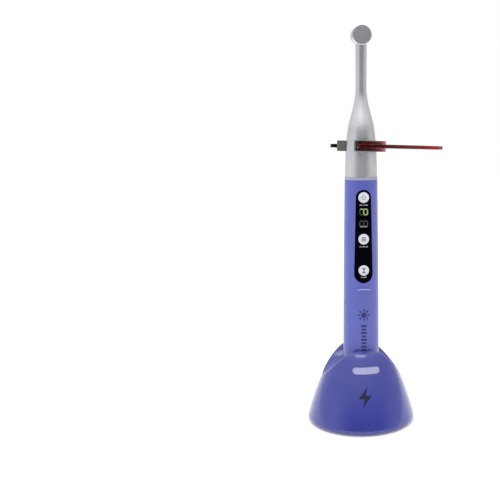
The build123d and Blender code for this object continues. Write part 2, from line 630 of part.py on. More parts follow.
def askew(shape):
    """The shape, tilted about the clip's middle."""
    return shape.rotate(Axis((0, 0, SHIELD_Z), (0, 1, 0)), SHIELD_TILT)


with BuildPart() as level_clip:
    extrude(ring_sector(level(SHIELD_Z - CLIP_HEIGHT / 2), CLIP_INNER_RADIUS, CLIP_RADIUS,
                        CLIP_START, CLIP_SWEEP),
            amount=CLIP_HEIGHT)
    fillet(level_clip.edges().filter_by(Axis.Z).filter_by(on_rim), CLIP_END_ROUND)
    circles = level_clip.edges().filter_by(GeomType.CIRCLE)
    outer_rims = circles.filter_by(lambda edge: edge.radius > CLIP_RADIUS - 1)
    fillet(outer_rims, CLIP_EDGE)
    add(neck_form(CLIP_CLEARANCE), mode=Mode.SUBTRACT)
    extrude(ring_sector(level(SHIELD_Z - CLIP_GROOVE / 2), CLIP_CORE_RADIUS, CLIP_RADIUS + 1,
                        GROOVE_START, GROOVE_SWEEP),
            amount=CLIP_GROOVE, mode=Mode.SUBTRACT)

with BuildPart() as shield_clip:
    add(askew(level_clip.part))
save(shield_clip, "shield_clip")


def shield_level(z):
    """Horizontal workplane whose X runs along the shield, from the notch to the tip."""
    along = radians(SHIELD_ANGLE)
    return Plane(origin=(0, 0, z), x_dir=(cos(along), sin(along), 0), z_dir=(0, 0, 1))


with BuildPart() as level_plate:
    with BuildSketch(shield_level(SHIELD_Z - SHIELD_THICKNESS / 2)):
        with BuildLine():
            near_side = Line(NEAR_LEG[1], (0, -NOTCH_RADIUS))
            notch = ThreePointArc(near_side @ 1, (NOTCH_RADIUS, 0), (0, NOTCH_RADIUS))
            far_side = Line(notch @ 1, FAR_LEG[0])
            far_tip = ThreePointArc(*FAR_LEG)
            outer_edge = Spline([far_tip @ 1, *SHIELD_OUTLINE])
            ThreePointArc(outer_edge @ 1, *NEAR_LEG)
        make_face()
    extrude(amount=SHIELD_THICKNESS)
    flat_faces = level_plate.faces().filter_by(Axis.Z)
    fillet(flat_faces.edges(), SHIELD_EDGE)
    with BuildSketch(shield_level(SHIELD_Z - SHIELD_RIM_THICKNESS / 2)):
        Circle(SHIELD_RIM_RADIUS)
        with Locations((-SHIELD_RIM_RADIUS, 0)):
            Rectangle(2 * SHIELD_RIM_RADIUS, 4 * SHIELD_RIM_RADIUS, mode=Mode.SUBTRACT)
        with Locations((-SHIELD_RIM_LEG / 2, 0)):
            Rectangle(SHIELD_RIM_LEG, 2 * SHIELD_RIM_RADIUS)
        Circle(NOTCH_RADIUS, mode=Mode.SUBTRACT)
        with Locations((-SHIELD_RIM_LEG / 2 - 1, 0)):
            Rectangle(SHIELD_RIM_LEG + 2, 2 * NOTCH_RADIUS, mode=Mode.SUBTRACT)
    extrude(amount=SHIELD_RIM_THICKNESS)

with BuildPart() as shield_plate:
    add(askew(level_plate.part))
save(shield_plate, "shield_plate")

# ---- Charging base: shell -----------------------------------------------------------------------
POST_SPOTS = round_spots(POST_PITCH, 4, 45)
CARRIER_SPOTS = round_spots(CARRIER_SCREW_PITCH, 3, 90)
LEG_SPOTS = [(-CARRIER_LEG_X, 0), (CARRIER_LEG_X, 0)]


def on_socket_mouth(edge):
    """True for the curved edges where the socket's wall opens into the cradle."""
    spots = [edge @ share for share in (0.1, 0.5, 0.9)]
    on_wall = all(abs(Vector(spot.X, spot.Y).length - SOCKET_RADIUS) < 0.05 for spot in spots)
    return on_wall and edge.geom_type != GeomType.LINE and (edge @ 0.5).Z > CRADLE_LOW_Z - 7


with BuildPart() as base_cavity:
    add(base_form(BASE_WALL))
    add(cradle_form(CRADLE_RADIUS + BASE_WALL), mode=Mode.SUBTRACT)
    extrude(ring(level(BOSS_LOW_Z), BOSS_RADIUS), amount=CUT_THROUGH, mode=Mode.SUBTRACT)
    extrude(ring(front(OUTSIDE_Y), JACK_BOSS_RADIUS, at=(0, JACK_Z)),
            amount=OUTSIDE_Y - JACK_BOSS_Y, mode=Mode.SUBTRACT)
    for spot in POST_SPOTS:
        extrude(ring(level(PLATE_TOP_Z + FIT), SCREW_POST_RADIUS, at=spot), amount=CUT_THROUGH,
                mode=Mode.SUBTRACT)

with BuildPart() as base_shell:
    add(base_form(0))
    fillet(base_shell.faces().sort_by(Axis.Z)[0].edges(), BASE_FOOT_EDGE)
    add(cradle_form(CRADLE_RADIUS), mode=Mode.SUBTRACT)
    fillet(base_shell.edges().sort_by(SortBy.LENGTH).filter_by(GeomType.BSPLINE)[-1], CREST_FILLET)
    extrude(ring(level(BOSS_LOW_Z), SOCKET_RADIUS), amount=CUT_THROUGH, mode=Mode.SUBTRACT)
    fillet(base_shell.edges().filter_by(on_socket_mouth), MOUTH_FILLET)
    add(base_cavity.part, mode=Mode.SUBTRACT)
    extrude(slot(front(-SOCKET_RADIUS), SLOT_LENGTH, SLOT_HEIGHT, (0, SLOT_Z)), amount=20, mode=Mode.SUBTRACT)
    extrude(ring(front(OUTSIDE_Y), JACK_RECESS_RADIUS, at=(0, JACK_Z)), amount=OUTSIDE_Y - JACK_FACE_Y,
            mode=Mode.SUBTRACT)
    extrude(ring(front(OUTSIDE_Y), JACK_SNOUT_RADIUS + 0.1, at=(0, JACK_Z)),
            amount=OUTSIDE_Y - JACK_BOSS_Y + 1, mode=Mode.SUBTRACT)
    for spot in POST_SPOTS:
        extrude(ring(level(PLATE_TOP_Z), BASE_SCREW[2] + FIT, at=spot), amount=10, mode=Mode.SUBTRACT)
    for spot in CARRIER_SPOTS:
        extrude(ring(level(BOSS_LOW_Z), SMALL_SCREW[2] + FIT, at=spot), amount=6, mode=Mode.SUBTRACT)
save(base_shell, "base_shell")

# ---- Charging base: fittings --------------------------------------------------------------------
with BuildPart() as indicator_window:
    extrude(slot(front(-SOCKET_RADIUS - 1), SLOT_LENGTH - 0.16, SLOT_HEIGHT - 0.16, (0, SLOT_Z)), amount=20)
    add(base_form(0.3), mode=Mode.INTERSECT)
    add(base_form(BASE_WALL), mode=Mode.SUBTRACT)
save(indicator_window, "indicator_window")

with BuildPart() as riser_board:
    riser_height = RISER_TOP_Z - BASE_BOARD_TOP_Z
    riser_middle = (0, BASE_BOARD_TOP_Z + STACK_GAP + riser_height / 2)
    extrude(panel(front(RISER_BACK_Y), RISER_WIDTH, riser_height, riser_middle), amount=RISER_THICKNESS)
save(riser_board, "riser_board")

with BuildPart() as status_leds:
    for led_x in (-6, 0, 6):
        extrude(panel(front(RISER_BACK_Y - RISER_THICKNESS - STACK_GAP), 1.6, 1.2, (led_x, SLOT_Z)),
                amount=0.8)
save(status_leds, "status_leds")

with BuildPart() as contact_carrier:
    extrude(ring(level(CARRIER_LOW_Z), CARRIER_RADIUS), amount=BOSS_LOW_Z - STACK_GAP - CARRIER_LOW_Z)
    extrude(ring(level(CARRIER_LOW_Z), SOCKET_RADIUS - FIT), amount=TAIL_Z - STACK_GAP - CARRIER_LOW_Z)
    for leg_x in (-CARRIER_LEG_X, CARRIER_LEG_X):
        extrude(ring(level(BASE_BOARD_TOP_Z + STACK_GAP), 2.4, at=(leg_x, 0)),
                amount=CARRIER_LOW_Z - BASE_BOARD_TOP_Z)
        extrude(ring(level(BASE_BOARD_TOP_Z), 0.8, at=(leg_x, 0)), amount=6, mode=Mode.SUBTRACT)
    for pin_x in (0, CONTACT_PITCH):
        extrude(ring(level(CARRIER_LOW_Z), PIN_SLEEVE_RADIUS + FIT, at=(pin_x, 0)),
                amount=10, mode=Mode.SUBTRACT)
    for spot in CARRIER_SPOTS:
        extrude(ring(level(CARRIER_LOW_Z), SMALL_SCREW[2] + 0.15, at=spot), amount=10, mode=Mode.SUBTRACT)
save(contact_carrier, "contact_carrier")

with BuildPart() as pin_sleeves:
    for pin_x in (0, CONTACT_PITCH):
        extrude(ring(level(BASE_BOARD_TOP_Z + STACK_GAP), PIN_SLEEVE_RADIUS, at=(pin_x, 0)),
                amount=PIN_SLEEVE_LENGTH)
        extrude(ring(level(BASE_BOARD_TOP_Z + 0.5), PIN_RADIUS + FIT, at=(pin_x, 0)), amount=20,
                mode=Mode.SUBTRACT)
save(pin_sleeves, "pin_sleeves")

for pin_name, pin_x in (("inner", 0), ("outer", CONTACT_PITCH)):
    with BuildPart() as charging_pin:
        extrude(ring(level(PIN_LOW_Z), PIN_RADIUS, at=(pin_x, 0)), amount=CONTACT_Z - PIN_AIR - PIN_LOW_Z)
        fillet(charging_pin.faces().sort_by(Axis.Z)[-1].edges(), 0.6)
    save(charging_pin, f"charging_pin_{pin_name}")

    with BuildPart() as pin_spring:
        with BuildLine():
            coil_radius, wire_radius, pitch = PIN_SPRING
            coil = Helix(pitch=pitch, height=PIN_SPRING_LENGTH, radius=coil_radius,
                         center=(pin_x, 0, PIN_SPRING_LOW_Z))
        with BuildSketch(Plane(origin=coil @ 0, z_dir=coil % 0)):
            Circle(wire_radius)
        sweep()
    save(pin_spring, f"pin_spring_{pin_name}")

with BuildPart() as carrier_screws:
    add(upright_screws(CARRIER_LOW_Z - STACK_GAP - SMALL_SCREW[1], CARRIER_SPOTS, SMALL_SCREW, 8.0))
save(carrier_screws, "carrier_screws")

with BuildPart() as charging_board:
    with BuildSketch(level(BASE_BOARD_Z)) as board_outline:
        with Locations((0, 4)):
            Rectangle(32, 50)
        fillet(board_outline.vertices(), 3)
        with Locations((-CARRIER_LEG_X, 0), (CARRIER_LEG_X, 0)):
            Circle(0.9, mode=Mode.SUBTRACT)
    extrude(amount=BASE_BOARD_TOP_Z - BASE_BOARD_Z)
save(charging_board, "charging_board")

with BuildPart() as charging_chips:
    for x, y, width in ((-10, 14, 5.0), (10, 14, 4.0), (-10, -14, 6.0)):
        extrude(panel(level(BASE_BOARD_TOP_Z + STACK_GAP), width, width, (x, y)), amount=1.0)
save(charging_chips, "charging_chips")

with BuildPart() as board_screws:
    add(upright_screws(BASE_BOARD_Z - STACK_GAP - SMALL_SCREW[1], LEG_SPOTS, SMALL_SCREW, 7.0))
save(board_screws, "board_screws")

with BuildPart() as dc_jack:
    jack_width, jack_height, jack_depth = JACK_BODY
    jack_middle = (0, BASE_BOARD_TOP_Z + STACK_GAP + jack_height / 2)
    extrude(panel(front(JACK_BOSS_Y - 0.3), jack_width, jack_height, jack_middle), amount=jack_depth)
    extrude(ring(front(JACK_FACE_Y - 0.2), JACK_SNOUT_RADIUS, at=(0, JACK_Z)), amount=4)
    extrude(ring(front(JACK_FACE_Y), JACK_BORE, at=(0, JACK_Z)), amount=JACK_BORE_DEPTH,
            mode=Mode.SUBTRACT)
save(dc_jack, "dc_jack")

with BuildPart() as dc_pin:
    extrude(ring(front(JACK_FACE_Y - 0.8), DC_PIN[0], at=(0, JACK_Z)), amount=DC_PIN[1])
    fillet(dc_pin.faces().sort_by(Axis.Y)[-1].edges(), 0.4)
save(dc_pin, "dc_pin")

with BuildPart() as ballast_weight:
    extrude(ring(level(PLATE_TOP_Z + STACK_GAP), BALLAST[0], BALLAST[1]), amount=BALLAST[2])
    chamfer(ballast_weight.faces().sort_by(Axis.Z)[-1].edges(), 0.5)
save(ballast_weight, "ballast_weight")

with BuildPart() as base_plate:
    extrude(ring(level(FOOT_THICKNESS + STACK_GAP), PLATE_RADIUS),
            amount=PLATE_TOP_Z - FOOT_THICKNESS - STACK_GAP)
    for spot in POST_SPOTS:
        extrude(ring(level(FOOT_THICKNESS), BASE_SCREW[2] + 0.2, at=spot), amount=CUT_SHORT,
                mode=Mode.SUBTRACT)
        extrude(ring(level(FOOT_THICKNESS), BASE_SCREW[0] + 0.2, at=spot), amount=BASE_SCREW[1] + 0.1,
                mode=Mode.SUBTRACT)
save(base_plate, "base_plate")

with BuildPart() as base_screws:
    add(upright_screws(FOOT_THICKNESS + 0.06, POST_SPOTS, BASE_SCREW, 9.0))
save(base_screws, "base_screws")

with BuildPart() as foot_pad:
    extrude(ring(level(0), FOOT_RADIUS), amount=FOOT_THICKNESS)
save(foot_pad, "foot_pad")
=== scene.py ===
"""Looks of the curing light in its charging base: finishes, marks, display, light and camera.

Everything is in metres in the frame of the CAD part: Z up, the control panel faces -Y,
the origin is on the table below the handpiece.
"""
import math

import bmesh
import bpy
from mathutils import Matrix, Vector
from mathutils.bvhtree import BVHTree


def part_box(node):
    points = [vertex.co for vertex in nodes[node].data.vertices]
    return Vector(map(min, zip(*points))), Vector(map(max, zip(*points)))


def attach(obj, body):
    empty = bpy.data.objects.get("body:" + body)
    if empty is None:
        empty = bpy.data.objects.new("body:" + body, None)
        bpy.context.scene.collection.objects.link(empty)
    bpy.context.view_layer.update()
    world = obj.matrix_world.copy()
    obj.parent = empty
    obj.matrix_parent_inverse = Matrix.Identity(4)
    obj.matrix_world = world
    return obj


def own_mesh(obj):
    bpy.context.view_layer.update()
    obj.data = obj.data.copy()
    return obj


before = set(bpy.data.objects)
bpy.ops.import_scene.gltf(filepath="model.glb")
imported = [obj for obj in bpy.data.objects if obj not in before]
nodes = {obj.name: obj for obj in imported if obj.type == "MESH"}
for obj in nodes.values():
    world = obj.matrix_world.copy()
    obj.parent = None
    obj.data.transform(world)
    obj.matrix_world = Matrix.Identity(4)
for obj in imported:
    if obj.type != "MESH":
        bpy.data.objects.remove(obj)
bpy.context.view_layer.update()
MM = 0.001
MICRON = 0.000001


# ---- Node helpers -------------------------------------------------------------------------------
CLOUD_EDGES = (0.35, 0.65)      # part of the noise's range that is spread over all of 0 to 1
GLOSS_EDGES = (0.3, 0.7)        # the same where the noise sets the roughness
CLEAR_PLASTIC_IOR = 1.49
WHITE = (1.0, 1.0, 1.0, 1.0)


def srgb(red, green, blue):
    """Display colour, 0 to 255, as the linear colour that the shaders use."""
    linear = []
    for value in (red, green, blue):
        share = value / 255
        linear.append(share / 12.92 if share <= 0.04045 else ((share + 0.055) / 1.055) ** 2.4)
    return (*linear, 1.0)


def set_values(node, values):
    """Uniform values on the node's own sockets."""
    for socket, value in values.items():
        node.inputs[socket].default_value = value


def new_material(name, values):
    """A material with a Principled shader that has these uniform values."""
    made = bpy.data.materials.new(name)
    made.use_nodes = True
    shader = made.node_tree.nodes["Principled BSDF"]
    set_values(shader, values)
    return made, made.node_tree, shader


def noise(tree, scale, detail=3.0, stretch=(1, 1, 1)):
    """Noise from 0 to 1 in the piece's own space, scale in lumps per metre."""
    place = tree.nodes.new("ShaderNodeTexCoord")
    mapping = tree.nodes.new("ShaderNodeMapping")
    mapping.inputs["Scale"].default_value = stretch
    texture = tree.nodes.new("ShaderNodeTexNoise")
    texture.inputs["Scale"].default_value = scale
    texture.inputs["Detail"].default_value = detail
    tree.links.new(place.outputs["Object"], mapping.inputs["Vector"])
    tree.links.new(mapping.outputs["Vector"], texture.inputs["Vector"])
    return texture.outputs["Fac"]


def between(tree, amount, low, high, source_low=0.0, source_high=1.0):
    """amount, taken from source_low..source_high, as a value from low to high."""
    spread = tree.nodes.new("ShaderNodeMapRange")
    spread.inputs["From Min"].default_value = source_low
    spread.inputs["From Max"].default_value = source_high
    spread.inputs["To Min"].default_value = low
    spread.inputs["To Max"].default_value = high
    tree.links.new(amount, spread.inputs["Value"])
    return spread.outputs["Result"]


def clouds(tree, scale):
    """Soft patches from 0 to 1, for mixing two close tones."""
    return between(tree, noise(tree, scale), 0.0, 1.0, *CLOUD_EDGES)


def height_share(tree, low, high):
    """0 at height low, 1 at height high, in the piece's own space."""
    place = tree.nodes.new("ShaderNodeTexCoord")
    split = tree.nodes.new("ShaderNodeSeparateXYZ")
    tree.links.new(place.outputs["Object"], split.inputs["Vector"])
    return between(tree, split.outputs["Z"], 0.0, 1.0, low, high)


def times(tree, first, second):
    """Product of two values."""
    product = tree.nodes.new("ShaderNodeMath")
    product.operation = "MULTIPLY"
    tree.links.new(first, product.inputs[0])
    tree.links.new(second, product.inputs[1])
    return product.outputs["Value"]


def mixed(tree, amount, first, second):
    """Colour that goes from first to second with amount; first may be a colour or a socket."""
    mix = tree.nodes.new("ShaderNodeMix")
    mix.data_type = "RGBA"
    tree.links.new(amount, mix.inputs["Factor"])
    if isinstance(first, bpy.types.NodeSocket):
        tree.links.new(first, mix.inputs["A"])
    else:
        mix.inputs["A"].default_value = first
    mix.inputs["B"].default_value = second
    return mix.outputs["Result"]


def paint(tree, shader, colour):
    tree.links.new(colour, shader.inputs["Base Color"])


def vary_roughness(tree, shader, amount, low, high):
    tree.links.new(between(tree, amount, low, high, *GLOSS_EDGES), shader.inputs["Roughness"])


def relief(tree, shader, height, depth):
    """Bumps of that depth in metres."""
    bump = tree.nodes.new("ShaderNodeBump")
    bump.inputs["Distance"].default_value = depth
    tree.links.new(height, bump.inputs["Height"])
    tree.links.new(bump.outputs["Normal"], shader.inputs["Normal"])


def moulded(name, main, other, rough, grain_scale=2600.0, grain_depth=20 * MICRON, values=None):
    """Moulded plastic or rubber: two close tones, uneven gloss and a fine grain."""
    made, tree, shader = new_material(name, values or {})
    paint(tree, shader, mixed(tree, clouds(tree, 90.0), main, other))
    vary_roughness(tree, shader, noise(tree, 240.0, 4.0), *rough)
    relief(tree, shader, noise(tree, grain_scale, 2.0), grain_depth)
    return made


def metal(name, main, other, rough, stretch, grain_scale=900.0, grain_depth=10 * MICRON):
    """Metal with faint tool marks along one direction."""
    made, tree, shader = new_material(name, {"Metallic": 1.0})
    paint(tree, shader, mixed(tree, clouds(tree, 140.0), main, other))
    marks = noise(tree, grain_scale, 3.0, stretch)
    vary_roughness(tree, shader, marks, *rough)
    relief(tree, shader, marks, grain_depth)
    return made


# ---- Finishes of the handpiece ------------------------------------------------------------------
def silver_metal():
    """Satin, slightly brushed round the neck."""
    return metal("silver_metal", srgb(212, 213, 215), srgb(204, 205, 208), (0.27, 0.35),
                 (0.4, 0.4, 4.0), 700.0, 2 * MICRON)


def bezel_metal():
    return metal("bezel_metal", srgb(120, 122, 126), srgb(104, 106, 110), (0.16, 0.26), (1, 8, 1))


def lens_glass():
    """Clear dome over the LED, with a trace of smear."""
    made, tree, shader = new_material("lens_glass", {
        "Base Color": srgb(250, 252, 255), "Transmission Weight": 1.0, "IOR": CLEAR_PLASTIC_IOR})
    vary_roughness(tree, shader, noise(tree, 500.0), 0.015, 0.06)
    return made


def reflector_metal():
    return metal("reflector_metal", srgb(236, 236, 238), srgb(226, 226, 230), (0.06, 0.14),
                 (1, 5, 1))


def thermal_grey():
    return moulded("thermal_grey", srgb(150, 152, 156), srgb(132, 134, 140), (0.7, 0.9), 4000.0,
                   40 * MICRON)


def emitter():
    """Yellow phosphor of the LED, switched off."""
    return moulded("emitter", srgb(238, 208, 92), srgb(226, 190, 70), (0.35, 0.5), 6000.0)


def board_green():
    """Circuit board: lacquer over faint copper tracks."""
    made, tree, shader = new_material("board_green", {})
    tracks = tree.nodes.new("ShaderNodeTexBrick")
    set_values(tracks, {"Scale": 420.0, "Mortar Size": 0.03, "Color1": srgb(20, 92, 52),
                        "Color2": srgb(24, 102, 58), "Mortar": srgb(48, 134, 82)})
    place = tree.nodes.new("ShaderNodeTexCoord")
    tree.links.new(place.outputs["Object"], tracks.inputs["Vector"])
    patches = between(tree, noise(tree, 200.0), 0.0, 0.5)
    paint(tree, shader, mixed(tree, patches, tracks.outputs["Color"], srgb(14, 74, 42)))
    vary_roughness(tree, shader, noise(tree, 900.0), 0.28, 0.42)
    relief(tree, shader, tracks.outputs["Fac"], 30 * MICRON)
    return made


def chip_black():
    return moulded("chip_black", srgb(34, 34, 37), srgb(44, 44, 47), (0.5, 0.7), 7000.0,
                   30 * MICRON)


def wire_red():
    return moulded("wire_red", srgb(176, 34, 30), srgb(160, 28, 26), (0.35, 0.5), 5000.0)


def natural_plastic():
    return moulded("natural_plastic", srgb(222, 220, 208), srgb(208, 206, 194), (0.35, 0.5))


def trim_lavender():
    """Pale, slightly see-through ring."""
    return moulded("trim_lavender", srgb(156, 156, 172), srgb(164, 164, 180), (0.24, 0.34),
                   values={"Subsurface Weight": 0.25, "Subsurface Scale": 2 * MM})


def grip_violet():
    """Satin violet plastic of the grip, rubbed a little smoother in patches."""
    made, tree, shader = new_material("grip_violet", {"Coat Weight": 0.25, "Coat Roughness": 0.12})
    paint(tree, shader, mixed(tree, clouds(tree, 45.0), srgb(79, 86, 169), srgb(83, 90, 174)))
    vary_roughness(tree, shader, noise(tree, 160.0, 5.0), 0.27, 0.38)
    relief(tree, shader, noise(tree, 3200.0, 2.0), 12 * MICRON)
    return made


def panel_black():
    """Black overlay with a blue tint and hardly any mirror in it."""
    return moulded("panel_black", srgb(1, 1, 6), srgb(2, 2, 8), (0.10, 0.17), 1500.0, 4 * MICRON,
                   values={"Specular IOR Level": 0.015})


def button_white():
    return moulded("button_white", srgb(214, 214, 221), srgb(206, 207, 215), (0.3, 0.42))


def steel():
    return metal("steel", srgb(186, 188, 192), srgb(170, 172, 178), (0.25, 0.4), (1, 1, 7))


def gold_contact():
    return metal("gold_contact", srgb(232, 190, 96), srgb(220, 172, 80), (0.2, 0.32), (5, 1, 1))


def cell_wrap():
    """Shrink film round the battery."""
    return moulded("cell_wrap", srgb(40, 110, 150), srgb(36, 100, 140), (0.2, 0.34), 700.0,
                   60 * MICRON, values={"Coat Weight": 0.4})


def seal_rubber():
    return moulded("seal_rubber", srgb(38, 38, 40), srgb(48, 48, 50), (0.6, 0.8), 4200.0,
                   40 * MICRON)


# ---- Finishes of the shield and the base --------------------------------------------------------
def clip_grey():
    return moulded("clip_grey", srgb(86, 85, 83), srgb(74, 76, 75), (0.4, 0.55), 2800.0)


def shield_orange():
    """Clear orange plastic that stops blue light; through its edge it looks dark red."""
    made, tree, shader = new_material("shield_orange", {
        "Base Color": (1.0, 0.93, 0.86, 1.0), "Transmission Weight": 1.0,
        "IOR": CLEAR_PLASTIC_IOR})
    vary_roughness(tree, shader, noise(tree, 120.0, 5.0), 0.02, 0.08)
    relief(tree, shader, noise(tree, 60.0, 1.0), 20 * MICRON)
    absorb = tree.nodes.new("ShaderNodeVolumeAbsorption")
    set_values(absorb, {"Color": (0.965, 0.56, 0.04, 1.0), "Density": 1300.0})
    tree.links.new(absorb.outputs["Volume"], tree.nodes["Material Output"].inputs["Volume"])
    return made


def base_violet():
    """Glossy deep violet shell, dusty along its foot and faintly scuffed."""
    made, tree, shader = new_material("base_violet", {"Coat Weight": 0.6, "Coat Roughness": 0.06})
    tone = mixed(tree, clouds(tree, 30.0), srgb(49, 55, 141), srgb(54, 60, 148))
    dust = between(tree, noise(tree, 400.0), 0.0, 0.12, 0.4, 0.7)
    foot_dust = times(tree, height_share(tree, 12 * MM, 1 * MM), dust)
    paint(tree, shader, mixed(tree, foot_dust, tone, srgb(130, 130, 170)))
    vary_roughness(tree, shader, noise(tree, 120.0, 6.0), 0.14, 0.24)
    relief(tree, shader, noise(tree, 1400.0, 2.0), 6 * MICRON)
    return made


def base_dark():
    return moulded("base_dark", srgb(44, 44, 62), srgb(52, 52, 72), (0.45, 0.6), 2400.0,
                   30 * MICRON)


def indicator_milk():
    """Milky window over the charge lamps."""
    return moulded("indicator_milk", srgb(160, 161, 200), srgb(168, 169, 208), (0.2, 0.3),
                   values={"Subsurface Weight": 0.4, "Subsurface Scale": 2 * MM})


def lamp_amber():
    """Pale lens of a small status lamp, switched off."""
    return moulded("lamp_amber", srgb(236, 236, 222), srgb(226, 226, 208), (0.15, 0.25), 3000.0)


# ---- Finishes of the printed marks --------------------------------------------------------------
def printed(name, main, other):
    """Screen-printed ink with uneven gloss."""
    return moulded(name, main, other, (0.35, 0.5), 5000.0, 6 * MICRON)


def glowing(name, dim, bright, strength):
    """Lit segment of the display, in patches of two close tones."""
    made, tree, shader = new_material(name, {
        "Roughness": 0.3, "Base Color": dim, "Emission Strength": strength})
    glow = mixed(tree, clouds(tree, 700.0), dim, bright)
    tree.links.new(glow, shader.inputs["Emission Color"])
    relief(tree, shader, noise(tree, 3000.0), 4 * MICRON)
    return made


# ---- Which node has which finish ----------------------------------------------------------------
FINISHES = {
    silver_metal: ["head_shell"],
    bezel_metal: ["head_bezel"],
    lens_glass: ["head_lens"],
    reflector_metal: ["reflector_cup"],
    thermal_grey: ["thermal_pad"],
    emitter: ["led_chip"],
    board_green: ["led_board", "main_board", "tail_board", "charging_board", "riser_board"],
    chip_black: ["board_chips", "power_inductor", "buzzer", "tact_switches", "charging_chips",
                 "dc_jack"],
    wire_red: ["led_wires"],
    natural_plastic: ["led_connector", "inner_chassis"],
    trim_lavender: ["trim_ring"],
    grip_violet: ["body_shell", "tail_cap"],
    panel_black: ["control_panel", "display_module"],
    button_white: ["power_button", "mode_button", "time_button"],
    steel: ["head_coupler", "main_board_screws", "battery_spring", "pin_spring_inner",
            "pin_spring_outer", "base_screws", "board_screws", "carrier_screws", "dc_pin",
            "ballast_weight"],
    gold_contact: ["battery_plus_contact", "tail_contact_inner", "tail_contact_ring",
                   "charging_pin_inner", "charging_pin_outer", "pin_sleeves"],
    cell_wrap: ["battery_cell"],
    seal_rubber: ["tail_seal", "foot_pad"],
    clip_grey: ["shield_clip"],
    shield_orange: ["shield_plate"],
    base_violet: ["base_shell"],
    base_dark: ["base_plate", "contact_carrier"],
    indicator_milk: ["indicator_window"],
    lamp_amber: ["status_leds"],
}


def assign_finishes():
    left = set(nodes)
    for make, names in FINISHES.items():
        made = make()
        for name in names:
            mesh = nodes[name].data
            mesh.materials.clear()
            mesh.materials.append(made)
            left.discard(name)
    if left:
        raise RuntimeError("nodes without a finish: " + ", ".join(sorted(left)))


# ---- Printed marks, laid on the surface they are printed on -------------------------------------
STRIP = 0.4 * MM            # marks are cut this fine, so that they follow a curved surface
SAME_POINT = 0.002 * MM     # corners of neighbouring quads closer than this become one
IN_FRONT = -0.2             # y of a place in front of the whole object
SINK = 0.06 * MM            # how deep a mark reaches into the surface
SHELL_LIFT = 0.05 * MM      # how far a mark stands proud of the grip or the base,
BUTTON_LIFT = 0.04 * MM     # of a button,
PANEL_LIFT = 0.03 * MM      # and of the control panel


def surface_of(name):
    """Search tree of a node's mesh, for finding its front at a given x and z."""
    mesh = nodes[name].data
    return BVHTree.FromPolygons([v.co for v in mesh.vertices], [p.vertices for p in mesh.polygons])


def mark(name, shapes, node, body, finish, lift):
    """Thin raised print made from shapes, each a list of (x, z) points, on the front of a node."""
    front = surface_of(node)
    made = bmesh.new()
    for shape in shapes:
        made.faces.new([made.verts.new((x, 0.0, z)) for x, z in shape])
    bmesh.ops.remove_doubles(made, verts=made.verts, dist=SAME_POINT)
    edges_x = [v.co.x for v in made.verts]
    count = int((max(edges_x) - min(edges_x)) / STRIP)
    for step in range(1, count + 1):
        cut = (min(edges_x) + step * STRIP, 0.0, 0.0)
        everything = list(made.verts) + list(made.edges) + list(made.faces)
        bmesh.ops.bisect_plane(made, geom=everything, plane_co=cut, plane_no=(1.0, 0.0, 0.0))
    for vertex in made.verts:
        start = Vector((vertex.co.x, IN_FRONT, vertex.co.z))
        hit = front.ray_cast(start, Vector((0.0, 1.0, 0.0)))[0]
        if hit is None:
            raise RuntimeError(name + " runs off " + node)
        vertex.co.y = hit.y - lift
    back = bmesh.ops.extrude_face_region(made, geom=list(made.faces))["geom"]
    moved = [part for part in back if isinstance(part, bmesh.types.BMVert)]
    bmesh.ops.translate(made, verts=moved, vec=(0.0, lift + SINK, 0.0))
    bmesh.ops.recalc_face_normals(made, faces=made.faces)
    mesh = bpy.data.meshes.new(name)
    made.to_mesh(mesh)
    made.free()
    mesh.materials.append(finish)
    piece = bpy.data.objects.new(name, mesh)
    bpy.context.scene.collection.objects.link(piece)
    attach(piece, body)


def round_point(x, z, radius, degrees):
    """Point at that distance and angle from x, z."""
    angle = math.radians(degrees)
    return (x + radius * math.cos(angle), z + radius * math.sin(angle))


def arc(x, z, radius, start, end, steps):
    """Points of an arc, with angles in degrees."""
    return [round_point(x, z, radius, start + (end - start) * step / steps)
            for step in range(steps + 1)]


def circle(x, z, radius):
    steps = 32
    return arc(x, z, radius, 0.0, 360.0 * (steps - 1) / steps, steps - 1)


def bar(x, z, width, height):
    """Bar with round ends, lying along its longer side."""
    radius = min(width, height) / 2
    reach_x = width / 2 - radius
    reach_z = height / 2 - radius
    start = -90.0 if width >= height else 0.0
    first_end = arc(x + reach_x, z + reach_z, radius, start, start + 180.0, 8)
    second_end = arc(x - reach_x, z - reach_z, radius, start + 180.0, start + 360.0, 8)
    return first_end + second_end


def ribbon(points, width):
    """Quads along a line of points."""
    left, right = [], []
    for i, (x, z) in enumerate(points):
        before = points[max(i - 1, 0)]
        after = points[min(i + 1, len(points) - 1)]
        run_x, run_z = after[0] - before[0], after[1] - before[1]
        run = math.hypot(run_x, run_z)
        across = (-run_z / run * width / 2, run_x / run * width / 2)
        left.append((x + across[0], z + across[1]))
        right.append((x - across[0], z - across[1]))
    return [[left[i], left[i + 1], right[i + 1], right[i]] for i in range(len(points) - 1)]


def power_symbol(z):
    """Broken ring with a line through its gap."""
    stroke = 0.42 * MM
    ring = arc(0.0, z, 1.45 * MM, 125.0, 415.0, 36)
    return ribbon(ring, stroke) + [bar(0.0, z + 1.1 * MM, stroke, 1.7 * MM)]


def mode_symbol(z):
    """Three lines of a list."""
    spacing, length, stroke = 1.15 * MM, 3.4 * MM, 0.74 * MM
    return [bar(0.0, z + row * spacing, length, stroke) for row in (1, 0, -1)]


def time_symbol(z):
    """Hourglass."""
    half, neck, top = 1.15 * MM, 0.14 * MM, 1.5 * MM
    cap_length, cap_height = 3.0 * MM, 0.5 * MM
    upper = [(-half, z + top), (half, z + top), (neck, z), (-neck, z)]
    lower = [(-neck, z), (neck, z), (half, z - top), (-half, z - top)]
    caps = [bar(0.0, z + side * (top + cap_height / 2), cap_length, cap_height) for side in (1, -1)]
    return [upper, lower] + caps


